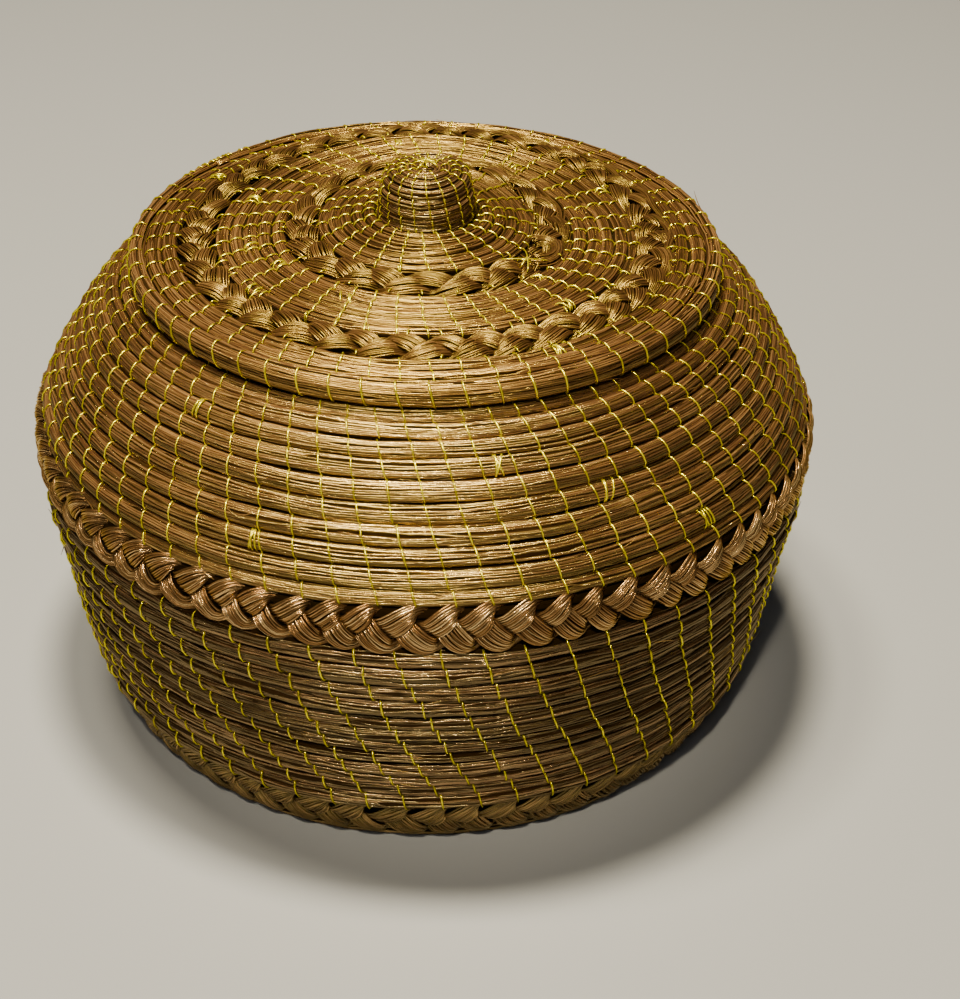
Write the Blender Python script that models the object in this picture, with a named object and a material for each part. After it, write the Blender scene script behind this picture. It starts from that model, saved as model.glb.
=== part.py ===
"""Lidded basket: coils of needle bundles with plaited rings between them, and a lid that lifts off.

Metres, +Z up. The origin is the middle of the flat bottom, and the lid's axis is the Z axis. Every
coil is one unbroken tube that follows the wall's middle line round by round, and every plaited
ring is a turned ring with two lobes on each side.
"""

import math

import bmesh
import bpy

MM = 0.001

# Gaps between pieces, and between the rounds of one coil
SEAT_GAP = 0.3 * MM
ROUND_GAP = 0.5 * MM

# Foot: the flat bottom and the plaited ring sewn round its edge
FOOT_RADIUS = 85.8 * MM
BOTTOM_THICKNESS = 4.6 * MM
BOTTOM_EDGE = 1.4 * MM
FOOT_BRAID_WIDTH = 16.8 * MM
FOOT_BRAID_THICKNESS = 5.2 * MM
FOOT_BRAID_LIFT = 1.6 * MM
FOOT_BRAID_LEAN = math.radians(24.6)

# Wall: the radii are those of its middle line
SHOULDER_RADIUS = 103.9 * MM
SHOULDER_HEIGHT = 81.4 * MM
SHOULDER_BRAID_WIDTH = 12.6 * MM
SHOULDER_BRAID_THICKNESS = 6.8 * MM
SHOULDER_BRAID_PROUD = 0.8 * MM
MOUTH_RADIUS = 70.8 * MM
MOUTH_RISE = 44.3 * MM

# Lid: heights are counted from the middle of its rim coil
RIM_COIL_WIDTH = 4.8 * MM
RIM_COIL_HEIGHT = 6.4 * MM
RIM_OVERHANG = 5.5 * MM
LID_EDGE_RISE = 1.5 * MM
LID_RISE = 10.4 * MM
LID_BRAID_THICKNESS = 5.2 * MM
LID_BRAID_PROUD = 0.5 * MM
LID_CLEARANCE = 1.0 * MM
SEAT_COIL_THICKNESS = 4.4 * MM
SEAT_COIL_DEPTH = 8.4 * MM

# Knob: the radii are those of its middle line
KNOB_RADIUS = 12.2 * MM
KNOB_HEIGHT = 13.7 * MM
KNOB_SINK = 1.2 * MM
KNOB_TAPER = 0.8 * MM
KNOB_EYE_RADIUS = 1.5 * MM

# Points a round: one polygon for everything large, so that neighbours keep their gap
POINTS_AROUND = 20
POINTS_AROUND_SMALL = 10
TUBE_SIDES = 6

# Middle lines as shares, chosen by hand: how far across and how far up from one end to the other
LOWER_WALL_SHARES = ((0, 0), (0.09, 0.06), (0.49, 0.37), (0.72, 0.68), (0.97, 0.93), (1, 1))
UPPER_WALL_SHARES = (
    (0, 0),
    (0.05, 0.08),
    (0.19, 0.32),
    (0.28, 0.44),
    (0.46, 0.69),
    (0.55, 0.79),
    (0.64, 0.87),
    (0.76, 0.93),
    (0.88, 0.98),
    (1, 1),
)
LID_SHARES = (
    (0, 0),
    (0.14, 0.07),
    (0.22, 0.14),
    (0.3, 0.2),
    (0.45, 0.27),
    (0.61, 0.35),
    (0.68, 0.44),
    (0.75, 0.59),
    (0.87, 0.8),
    (1, 1),
)
KNOB_SHARES = ((1, 0), (0.99, 0.35), (0.96, 0.66), (0.88, 0.87), (0.72, 0.97), (0.45, 1), (0, 1))

# Heights of the courses, as shares of each coil's width, from its start to its end
LOWER_COURSE_SHARES = (5.6, 4.4, 4.1, 4.3, 4.1, 4.0, 4.3, 4.7, 5.4, 5.7, 5.9, 5.0)
UPPER_COURSE_SHARES = (4.4, 5.5, 5.2, 5.4, 5.4, 5.6, 5.2, 4.6, 4.7, 4.4, 4.3)
LID_OUTER_COURSE_SHARES = (1, 1)
LID_MIDDLE_COURSE_SHARES = (1, 1, 1, 1, 1)
LID_CENTRE_COURSE_SHARES = (1, 1, 1, 1, 1)
KNOB_COURSE_SHARES = (1, 1, 1, 1, 1, 1, 1, 1)

# How the lid's outer coil, outer braid, middle coil, inner braid and centre coil share its middle line
LID_RING_SHARES = (0.14, 0.158, 0.302, 0.14, 0.26)

# Where round the basket each coil starts, as a share of a turn from the X axis
LOWER_WALL_SEAM_SHARE = 0.2
UPPER_WALL_SEAM_SHARE = 0.3
LID_OUTER_SEAM_SHARE = 0.05
LID_INNER_SEAM_SHARE = 0.7

# A coil climbs to its next course within this share of a turn, and ends where it is this thin
CLIMB_SHARE = 0.5
THIN_END_SHARE = 0.35

# A braid's outline: along its width, and out from its middle line as a share of its thickness
BRAID_SHARES = (
    (0, 0.15),
    (0.1, 0.38),
    (0.25, 0.5),
    (0.4, 0.4),
    (0.5, 0.22),
    (0.6, 0.4),
    (0.75, 0.5),
    (0.9, 0.38),
    (1, 0.15),
    (1, -0.15),
    (0.75, -0.5),
    (0.25, -0.5),
    (0, -0.15),
)
SPAN_STEPS = 10

# Colours of the needles, as linear shares of red, green and blue, and how rough they are
NEEDLE_COLOUR_SHARES = {
    "bottom_coil": (0.2, 0.1, 0.03),
    "foot_braid": (0.26, 0.13, 0.035),
    "lower_wall_coil": (0.25, 0.125, 0.035),
    "shoulder_braid": (0.4, 0.2, 0.06),
    "upper_wall_coil": (0.3, 0.145, 0.035),
    "lid_rim_coil": (0.33, 0.16, 0.04),
    "lid_seat_coil": (0.22, 0.11, 0.03),
    "lid_outer_coil": (0.31, 0.15, 0.035),
    "lid_outer_braid": (0.42, 0.22, 0.065),
    "lid_middle_coil": (0.31, 0.15, 0.035),
    "lid_inner_braid": (0.4, 0.21, 0.06),
    "lid_centre_coil": (0.3, 0.14, 0.035),
    "knob_coil": (0.3, 0.135, 0.03),
}
NEEDLE_ROUGHNESS_SHARE = 0.42


def clear_scene():
    for obj in list(bpy.data.objects):
        bpy.data.objects.remove(obj, do_unlink=True)


def needle_material(name):
    """The material of one piece: bare needles, glossy where they are whole."""
    material = bpy.data.materials.new(f"{name}_needles")
    material.use_nodes = True
    shader = material.node_tree.nodes["Principled BSDF"]
    shader.inputs["Base Color"].default_value = (*NEEDLE_COLOUR_SHARES[name], 1)
    shader.inputs["Roughness"].default_value = NEEDLE_ROUGHNESS_SHARE
    shader.inputs["Metallic"].default_value = 0
    return material


class MiddleLine:
    """A smooth line in the plane of radius and height, measured along its length."""

    def __init__(self, points):
        padded = [points[0], *points, points[-1]]
        self.points = []
        for i in range(1, len(padded) - 2):
            for step in range(SPAN_STEPS):
                self.points.append(spline_point(padded[i - 1 : i + 3], step / SPAN_STEPS))
        self.points.append(points[-1])
        self.marks = [0]
        for a, b in zip(self.points, self.points[1:]):
            self.marks.append(self.marks[-1] + math.dist(a, b))
        self.length = self.marks[-1]

    def at(self, distance):
        """Radius and height at a distance along the line, and its direction there."""
        i = 0
        while i < len(self.marks) - 2 and self.marks[i + 1] < distance:
            i += 1
        (r0, z0), (r1, z1) = self.points[i], self.points[i + 1]
        span = self.marks[i + 1] - self.marks[i]
        share = (distance - self.marks[i]) / span
        return r0 + (r1 - r0) * share, z0 + (z1 - z0) * share, (r1 - r0) / span, (z1 - z0) / span


def spline_point(corners, share):
    """A point of a Catmull-Rom curve between its second and third corners."""
    weights = (
        -0.5 * share + share**2 - 0.5 * share**3,
        1 - 2.5 * share**2 + 1.5 * share**3,
        0.5 * share + 2 * share**2 - 1.5 * share**3,
        -0.5 * share**2 + 0.5 * share**3,
    )
    return tuple(sum(w * c[axis] for w, c in zip(weights, corners)) for axis in (0, 1))


def line_between(start, end, shares):
    return [(start[0] + (end[0] - start[0]) * across, start[1] + (end[1] - start[1]) * up) for across, up in shares]


def course_edge(turns, course_shares):
    """How far along the coil's width, as a share, the upper edge of its tube lies after some turns."""
    if turns <= 0:
        return 0
    course = int(turns)
    if course >= len(course_shares):
        return 1
    climb = min(1, (turns - course) / CLIMB_SHARE)
    eased = climb * climb * (3 - 2 * climb)
    return (sum(course_shares[:course]) + course_shares[course] * eased) / sum(course_shares)


def coil_path(line, start, end, course_shares, around, seam):
    """Points, radii and tilts of the tube that winds over a stretch of the line, a seat gap inside its ends."""
    path = []
    first = start + SEAT_GAP - ROUND_GAP / 2
    width = end - first - SEAT_GAP + ROUND_GAP / 2
    for step in range(around * (len(course_shares) + 1)):
        turns = step / around
        upper = course_edge(turns, course_shares)
        lower = course_edge(turns - 1, course_shares)
        course = course_shares[min(int(turns), len(course_shares) - 1)]
        if upper - lower < THIN_END_SHARE * course / sum(course_shares):
            continue
        r, z, across, up = line.at(first + width * (upper + lower) / 2)
        angle = 2 * math.pi * (turns + seam)
        radius = (width * (upper - lower) - ROUND_GAP) / 2
        path.append(((r * math.cos(angle), r * math.sin(angle), z), radius, -math.atan2(up, across)))
    return path


def least_gap(path, around):
    """The least gap between points of the tube that are half a turn or more apart along it."""
    gaps = []
    for i, (a, radius_a, _) in enumerate(path):
        for b, radius_b, _ in path[i + around // 2 :]:
            gaps.append(math.dist(a, b) - radius_a - radius_b)
    return min(gaps)


def add_coil(name, path, around, parent):
    """One unbroken six-sided tube along the path, its corners towards its neighbours, its ends closed."""
    curve = bpy.data.curves.new(name, "CURVE")
    curve.dimensions = "3D"
    curve.twist_mode = "Z_UP"
    curve.bevel_mode = "ROUND"
    curve.bevel_resolution = TUBE_SIDES // 2 - 2
    curve.use_fill_caps = True
    curve.bevel_depth = max(radius for _, radius, _ in path)
    spline = curve.splines.new("POLY")
    spline.use_smooth = True
    spline.points.add(len(path) - 1)
    for point, (place, radius, tilt) in zip(spline.points, path):
        point.co = (*place, 1)
        point.radius = radius / curve.bevel_depth
        point.tilt = tilt
    curve.materials.append(needle_material(name))
    obj = bpy.data.objects.new(name, curve)
    obj.parent = parent
    bpy.context.scene.collection.objects.link(obj)
    print(f"{name}: {len(path)} points, least gap to itself {least_gap(path, around) / MM:.2f} mm")
    return obj


def add_turned(name, outline, around, parent, hollow=True):
    """The outline of radii and heights turned about the Z axis: a closed ring, or a solid with two flat ends."""
    mesh = bpy.data.meshes.new(name)
    bm = bmesh.new()
    rings = []
    for r, z in outline:
        angles = [2 * math.pi * i / around for i in range(around)]
        rings.append([bm.verts.new((r * math.cos(a), r * math.sin(a), z)) for a in angles])
    pairs = list(zip(rings, rings[1:] + rings[:1])) if hollow else list(zip(rings, rings[1:]))
    for low, high in pairs:
        for i in range(around):
            j = (i + 1) % around
            bm.faces.new((low[i], low[j], high[j], high[i]))
    if not hollow:
        bm.faces.new(rings[0])
        bm.faces.new(rings[-1])
    bmesh.ops.recalc_face_normals(bm, faces=bm.faces)
    bm.to_mesh(mesh)
    bm.free()
    mesh.shade_smooth()
    mesh.set_sharp_from_angle(angle=math.radians(50))
    mesh.materials.append(needle_material(name))
    obj = bpy.data.objects.new(name, mesh)
    obj.parent = parent
    bpy.context.scene.collection.objects.link(obj)
    return obj


def braid_outline(start, end, thickness, proud):
    """Outline of a braid whose middle line runs from start to end; its outer side is on the right of that way."""
    width = math.dist(start, end)
    along = ((end[0] - start[0]) / width, (end[1] - start[1]) / width)
    out = (along[1], -along[0])
    outline = []
    for share, depth in BRAID_SHARES:
        outward = proud + depth * thickness
        outline.append((start[0] + along[0] * width * share + out[0] * outward,
                        start[1] + along[1] * width * share + out[1] * outward))
    return outline


def oval_outline(r, z, width, height, corners):
    angles = [2 * math.pi * i / corners for i in range(corners)]
    return [(r + width / 2 * math.cos(a), z + height / 2 * math.sin(a)) for a in angles]


def add_foot(parent):
    """The flat bottom and the foot braid. Returns where the braid's middle line ends."""
    edge = BOTTOM_EDGE
    outline = [
        (FOOT_RADIUS - edge, 0),
        (FOOT_RADIUS, edge),
        (FOOT_RADIUS, BOTTOM_THICKNESS - edge),
        (FOOT_RADIUS - edge, BOTTOM_THICKNESS),
    ]
    add_turned("bottom_coil", outline, POINTS_AROUND, parent, hollow=False)
    corner_share = BRAID_SHARES[0][1]
    low = (FOOT_RADIUS + SEAT_GAP + corner_share * FOOT_BRAID_THICKNESS, FOOT_BRAID_LIFT)
    high = (low[0] + FOOT_BRAID_WIDTH * math.sin(FOOT_BRAID_LEAN), low[1] + FOOT_BRAID_WIDTH * math.cos(FOOT_BRAID_LEAN))
    add_turned("foot_braid", braid_outline(low, high, FOOT_BRAID_THICKNESS, 0), POINTS_AROUND, parent)
    return high


def add_wall(parent, foot_top):
    """Both wall coils with the shoulder braid between them. Returns the upper wall's line and last tube radius."""
    half = SHOULDER_BRAID_WIDTH / 2
    low = (SHOULDER_RADIUS, SHOULDER_HEIGHT - half)
    high = (SHOULDER_RADIUS, SHOULDER_HEIGHT + half)
    lower = MiddleLine(line_between(foot_top, low, LOWER_WALL_SHARES))
    path = coil_path(lower, 0, lower.length, LOWER_COURSE_SHARES, POINTS_AROUND, LOWER_WALL_SEAM_SHARE)
    add_coil("lower_wall_coil", path, POINTS_AROUND, parent)
    outline = braid_outline(low, high, SHOULDER_BRAID_THICKNESS, SHOULDER_BRAID_PROUD)
    add_turned("shoulder_braid", outline, POINTS_AROUND, parent)
    mouth = (MOUTH_RADIUS, SHOULDER_HEIGHT + MOUTH_RISE)
    upper = MiddleLine(line_between(high, mouth, UPPER_WALL_SHARES))
    path = coil_path(upper, 0, upper.length, UPPER_COURSE_SHARES, POINTS_AROUND, UPPER_WALL_SEAM_SHARE)
    add_coil("upper_wall_coil", path, POINTS_AROUND, parent)
    course = upper.length * max(UPPER_COURSE_SHARES[-2:]) / sum(UPPER_COURSE_SHARES)
    return upper, (course - ROUND_GAP) / 2


def rim_height(upper, wall_tube_radius, rim_radius):
    """How high the middle of the rim coil lies when it rests on the wall, one seat gap above it."""
    heights = []
    for r, z in upper.points:
        aside = (rim_radius - r) / (RIM_COIL_WIDTH / 2)
        if abs(aside) < 1:
            heights.append(z + RIM_COIL_HEIGHT / 2 * math.sqrt(1 - aside**2))
    return max(heights) + wall_tube_radius + SEAT_GAP


def add_lid(parent, rim_radius):
    """The lid's pieces from the rim to the knob, at heights counted from the middle of the rim coil."""
    rim = oval_outline(rim_radius, 0, RIM_COIL_WIDTH, RIM_COIL_HEIGHT, 12)
    add_turned("lid_rim_coil", rim, POINTS_AROUND, parent)

    knob_side = KNOB_RADIUS + (KNOB_RADIUS - KNOB_EYE_RADIUS) / len(KNOB_COURSE_SHARES)
    edge = (rim_radius - RIM_COIL_WIDTH / 2, LID_EDGE_RISE)
    line = MiddleLine(line_between(edge, (knob_side, LID_RISE), LID_SHARES))
    ends = [line.length * sum(LID_RING_SHARES[:i]) for i in range(1, len(LID_RING_SHARES))]
    outer_start, outer_end, inner_start, inner_end = ends
    outer_seam = LID_OUTER_SEAM_SHARE
    inner_seam = LID_INNER_SEAM_SHARE
    stretches = (
        ("lid_outer_coil", 0, outer_start, LID_OUTER_COURSE_SHARES, POINTS_AROUND, outer_seam),
        ("lid_middle_coil", outer_end, inner_start, LID_MIDDLE_COURSE_SHARES, POINTS_AROUND, inner_seam),
        ("lid_centre_coil", inner_end, line.length, LID_CENTRE_COURSE_SHARES, POINTS_AROUND_SMALL, inner_seam),
    )
    for name, start, end, shares, around, seam in stretches:
        path = coil_path(line, start, end, shares, around, seam)
        add_coil(name, path, around, parent)
    for name, start, end in (("lid_outer_braid", outer_start, outer_end), ("lid_inner_braid", inner_start, inner_end)):
        outline = braid_outline(line.at(start)[:2], line.at(end)[:2], LID_BRAID_THICKNESS, LID_BRAID_PROUD)
        add_turned(name, outline, POINTS_AROUND, parent)

    outer = MOUTH_RADIUS - LID_CLEARANCE
    inner = outer - SEAT_COIL_THICKNESS
    course = outer_start / len(LID_OUTER_COURSE_SHARES)
    flat = (course - ROUND_GAP) / 2 * math.cos(math.pi / TUBE_SIDES)
    top = line.at(outer_start - course / 2)[1] - flat - SEAT_GAP
    bottom = top - SEAT_COIL_DEPTH
    corner = SEAT_COIL_THICKNESS / 3
    seat = [
        (outer - corner, bottom),
        (outer, bottom + corner),
        (outer, top - corner),
        (outer - corner, top),
        (inner + corner, top),
        (inner, top - corner),
        (inner, bottom + corner),
        (inner + corner, bottom),
    ]
    add_turned("lid_seat_coil", seat, POINTS_AROUND, parent)

    points = []
    for out_share, up_share in KNOB_SHARES:
        radius = KNOB_EYE_RADIUS + (KNOB_RADIUS - KNOB_TAPER * up_share - KNOB_EYE_RADIUS) * out_share
        points.append((radius, LID_RISE - KNOB_SINK + KNOB_HEIGHT * up_share))
    knob = MiddleLine(points)
    path = coil_path(knob, 0, knob.length, KNOB_COURSE_SHARES, POINTS_AROUND_SMALL, inner_seam)
    add_coil("knob_coil", path, POINTS_AROUND_SMALL, parent)


def main():
    clear_scene()
    basket = bpy.data.objects.new("basket", None)
    bpy.context.scene.collection.objects.link(basket)
    foot_top = add_foot(basket)
    upper, wall_tube_radius = add_wall(basket, foot_top)
    rim_radius = MOUTH_RADIUS + RIM_OVERHANG
    lid = bpy.data.objects.new("lid", None)
    lid.location = (0, 0, rim_height(upper, wall_tube_radius, rim_radius))
    bpy.context.scene.collection.objects.link(lid)
    add_lid(lid, rim_radius)


main()
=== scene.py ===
import math

import bpy
import numpy as np
from mathutils import Matrix, Vector


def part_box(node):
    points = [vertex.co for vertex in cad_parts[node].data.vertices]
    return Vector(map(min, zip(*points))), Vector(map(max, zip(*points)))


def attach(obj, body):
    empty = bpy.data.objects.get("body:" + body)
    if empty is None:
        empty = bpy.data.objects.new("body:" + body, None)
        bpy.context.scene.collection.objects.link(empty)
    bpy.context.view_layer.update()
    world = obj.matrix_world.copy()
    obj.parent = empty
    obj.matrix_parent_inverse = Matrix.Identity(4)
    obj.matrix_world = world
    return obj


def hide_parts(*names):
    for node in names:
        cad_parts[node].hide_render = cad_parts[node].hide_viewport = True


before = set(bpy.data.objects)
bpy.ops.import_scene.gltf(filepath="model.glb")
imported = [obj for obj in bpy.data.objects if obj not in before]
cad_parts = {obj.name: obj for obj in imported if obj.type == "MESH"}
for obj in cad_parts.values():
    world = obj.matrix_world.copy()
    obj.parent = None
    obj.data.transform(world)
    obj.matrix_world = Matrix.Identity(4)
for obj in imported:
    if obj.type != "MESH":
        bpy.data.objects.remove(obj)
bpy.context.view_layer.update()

MM = 0.001
TURN = 2 * math.pi

# Sizes of the solids, in millimetres. A pair is a radius and a height
SEAT_GAP = 0.3
ROUND_GAP = 0.5
FOOT_LOW = (86.88, 1.6)
FOOT_HIGH = (93.87, 16.88)
BOTTOM_HEIGHT = 2.3
BOTTOM_RADII = (2.0, FOOT_LOW[0] + 1.4)
SHOULDER_LOW = (103.9, 75.1)
SHOULDER_HIGH = (103.9, 87.7)
MOUTH = (70.8, 125.7)
RIM_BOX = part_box("lid_rim_coil")
LID_HEIGHT = (RIM_BOX[0].z + RIM_BOX[1].z) / 2 / MM
RIM_RADIUS = 76.3
RIM_WIDTH = 4.8
RIM_TALL = 6.4
RIM_ROOM = 0.05
SEAT_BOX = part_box("lid_seat_coil")
SEAT_RADIUS = 67.6
SEAT_DEEP = 2.1
LID_EDGE = (73.9, LID_HEIGHT + 1.5)
LID_MIDDLE = (13.54, LID_HEIGHT + 10.4)
LID_RING_SHARES = (0.14, 0.158, 0.302, 0.14, 0.26)
KNOB_RADIUS = 12.2
KNOB_HEIGHT = 13.7
KNOB_FOOT = LID_HEIGHT + 9.2
KNOB_TAPER = 0.8
KNOB_EYE_RADIUS = 0.5

# How far the back of the lid's top is raised, and its share at each radius
LID_BACK_LIFT = 3.6
LID_LIFT_RADII = (14, 22, 30, 60, 67, 73)
LID_LIFT_SHARES = (0, 0.7, 1, 1, 0.7, 0)

# Outlines as shares of their width and height, and the widths of the walls' courses
LOWER_WALL_SHARES = ((0, 0), (0.09, 0.06), (0.49, 0.37), (0.72, 0.68), (0.97, 0.93), (1, 1))
UPPER_WALL_SHARES = ((0, 0), (0.05, 0.08), (0.19, 0.32), (0.28, 0.44), (0.46, 0.69), (0.55, 0.79),
                     (0.64, 0.87), (0.76, 0.93), (0.88, 0.98), (1, 1))
LID_SHARES = ((0, 0), (0.14, 0.07), (0.22, 0.14), (0.3, 0.2), (0.45, 0.27), (0.61, 0.35), (0.68, 0.44),
              (0.75, 0.59), (0.87, 0.8), (1, 1))
KNOB_SHARES = ((1, 0), (0.99, 0.35), (0.96, 0.66), (0.88, 0.87), (0.72, 0.97), (0.45, 1), (0, 1))
LOWER_COURSES = (5.6, 4.4, 4.1, 4.3, 4.1, 4.0, 4.3, 4.7, 5.4, 5.7, 5.9, 5.0)
UPPER_COURSES = (4.4, 5.5, 5.2, 5.4, 5.4, 5.6, 5.2, 4.6, 4.7, 4.4, 4.3)
CLIMB_SHARE = 0.5

# Coils: unevenness in millimetres, the section's roundness, and how much a stitch pinches it
STEPS_PER_STITCH = 3
THINNEST_ROUND = 0.3
UNEVEN_OUT = 0.16
UNEVEN_ACROSS = 0.13
UNEVEN_WIDTH = 0.02
ACROSS_WAVES = (43.0, 83.0, 140.0)
SECTION_POWER = 2 / 2.3
PINCH = 0.05

# Needles: lengths in millimetres, the rest as shares of a needle or of the room between two
NEEDLE_LENGTHS = (120.0, 240.0)
NEEDLE_JOINT = 4.0
NEEDLE_END = 0.35
NEEDLE_WIDE = 1.1
NEEDLE_LOW = 0.4
NEEDLE_SIDES = np.array([0.0, NEEDLE_WIDE, -NEEDLE_WIDE])
# Painted shade at a needle's corners: 1 lit at its ridge, 0 darkest at its lower corners
NEEDLE_SHADE = np.array([1.0, 0.0, 0.0])
NEEDLE_SUNK = 0.9
LEAST_THICK = 0.86
MORE_THICK = 0.3
DRIFT_WAVES = (9.5, 14.0, 21.0)
LIFT_WAVES = (12.0, 23.0, 41.0)
LIFT_HEIGHT = 0.1
CROSSING_RARE = 0.84
CROSSING_SWERVE = 1.3
CROSSING_LIFT = 0.18
LANE_STEP = 3.7
CHANCE_FACTORS = (78.233, 12.9898, 37.719, 4.581)
CHANCE_SCALE = 43758.5453
ROW_SHARE = 0.94
CAP_UV = 0.999

# The filling's section, and the arcs of the needles over it, in degrees
FILLING_CORNERS = 12
FILLING_EVERY = 2
FILLING_SHARE = 0.79
FILLING_EDGES = (3, 9)
FILLING_SHADED = (2, 3, 4, 8, 9, 10)
FILLING_EDGE_SHARE = 1.03
FILLING_PATCH = 60
OUTER_ARC = 78.0
ARC_GAP = 8

# Plaits
BRAID_NEEDLES = 12
BRAID_STEPS = 22
BRAID_ROOM = 0.3
BRAID_CROWN = 0.6
BRAID_SAG = 1.1
BRAID_SIDES = np.array([0.0, NEEDLE_WIDE, 0.0, -NEEDLE_WIDE])
# Painted shade at a braid needle's corners: lit on top, darker at its sides and darkest below
BRAID_SHADE = np.array([1.0, 0.1, 0.0, 0.1])
BRAID_WAVES = (29.0, 53.0, 91.0)
BRAID_PHASE_WAVES = (33.0, 61.0, 119.0)
BRAID_STRAY_WAVES = (11.0, 17.0, 29.0, 47.0)
STEEP = 1.3
TURN_LATE = math.radians(12)
NO_HOLLOW = (0, 1, 0)
BRAID_END = math.radians(-31)
CLOSING_STEPS = 96
HIDDEN_ANGLES = np.arange(8) * TURN / 8

# The photograph's camera, fitted to the ruler's marks and the basket's round edges
CAMERA_PLACE = (0.01572, -0.49677, 0.37944)
CAMERA_DOWN = math.radians(33.56)
CAMERA_ROLL = math.radians(1.29)
CAMERA_FOCUS = 2073.2
PHOTO_LONG_SIDE = 999
SENSOR_WIDTH = 36


def spline(points, steps=12):
    """A smooth line through the points, as an array of radius and height."""
    padded = [points[0], *points, points[-1]]
    out = []
    for i in range(1, len(padded) - 2):
        a, b, c, d = (np.array(p, float) for p in padded[i - 1 : i + 3])
        for k in range(steps):
            t = k / steps
            square = (2 * a - 5 * b + 4 * c - d) * t * t
            out.append(0.5 * (2 * b + (c - a) * t + square + (3 * b - a - 3 * c + d) * t**3))
    out.append(np.array(points[-1], float))
    return np.array(out)


def between(start, end, shares):
    """Points from start to end, each at its shares of the way across and up."""
    return [(start[0] + (end[0] - start[0]) * x, start[1] + (end[1] - start[1]) * y) for x, y in shares]


class Line:
    """A middle line in the plane of radius and height. Its outer side is on the right of its way."""

    def __init__(self, points):
        self.points = spline(points)
        steps = np.linalg.norm(np.diff(self.points, axis=0), axis=1)
        self.marks = np.concatenate([[0], np.cumsum(steps)])
        self.length = self.marks[-1]
        way = np.gradient(self.points, self.marks, axis=0)
        self.way = way / np.linalg.norm(way, axis=1)[:, None]

    def at(self, distance):
        """Places, ways and outward directions at distances along the line."""
        place = np.stack([np.interp(distance, self.marks, self.points[:, i]) for i in (0, 1)], -1)
        way = np.stack([np.interp(distance, self.marks, self.way[:, i]) for i in (0, 1)], -1)
        way /= np.linalg.norm(way, axis=-1, keepdims=True)
        return place, way, np.stack([way[..., 1], -way[..., 0]], -1)


class Waves:
    """Slow, repeatable unevenness: a sum of sines of the distance along a coil, about 1 high."""

    def __init__(self, seed, lengths=(31.0, 57.0, 97.0, 171.0)):
        draw = np.random.default_rng(seed)
        self.terms = [(length * draw.uniform(0.8, 1.25), draw.uniform(0, TURN)) for length in lengths]

    def __call__(self, distance):
        waves = (np.sin(TURN * distance / length + phase) for length, phase in self.terms)
        return sum(waves) / len(self.terms) ** 0.5


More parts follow.
